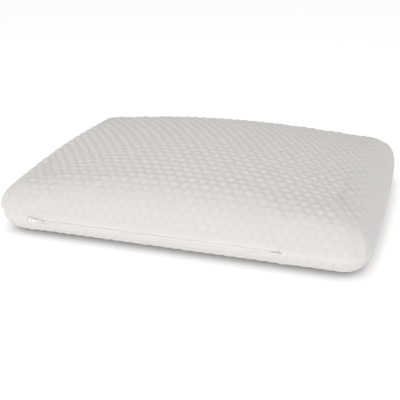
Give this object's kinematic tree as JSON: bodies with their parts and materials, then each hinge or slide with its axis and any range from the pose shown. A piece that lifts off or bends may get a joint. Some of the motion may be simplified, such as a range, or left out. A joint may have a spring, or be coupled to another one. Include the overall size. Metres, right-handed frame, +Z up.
{
  "type": "bed pillow",
  "caption": "Domed memory foam pillow with rounded edges in a removable bubble knit cover, closed by a zip with a sliding pull along the front seam.",
  "frame": {"origin": "centre of the underside, on the surface the pillow lies on", "axes": "+X along the pillow's length, towards the zip's open end; +Y from the zip's seam towards the back; +Z up"},
  "size_m": [0.5998, 0.4139, 0.128],
  "materials": {
    "bubble_knit": "matte",
    "liner_jersey": "matte",
    "memory_foam": "matte",
    "sewing_thread": "satin",
    "zip_tape": "matte",
    "zip_nylon": "satin",
    "slider_enamel": "satin"
  },
  "bodies": {
    "pillow": {"foam_core": "memory_foam", "inner_liner": "liner_jersey", "cover_top": "bubble_knit", "cover_bottom": "bubble_knit", "perimeter_overlock": "sewing_thread", "zip_tape_upper": "zip_tape", "zip_tape_lower": "zip_tape", "zip_coil_upper": "zip_nylon", "zip_coil_lower": "zip_nylon", "zip_end_tack_closed": "sewing_thread", "zip_end_tack_open": "sewing_thread", "zip_stitching_upper": "sewing_thread", "zip_stitching_lower": "sewing_thread"},
    "slider": {"zip_slider": "slider_enamel"},
    "pull": {"zip_pull": "slider_enamel"}
  },
  "joints": [
    {"name": "zip_slide", "type": "slide", "parent": "pillow", "child": "slider", "axis": [1, 0, 0], "range_m": [0, 0.392]},
    {"name": "pull_swing", "type": "hinge", "parent": "slider", "child": "pull", "pos_m": [-0.2272, -0.2076, 0.031], "axis": [0, 0, -1], "range_deg": [0, 170]}
  ]
}
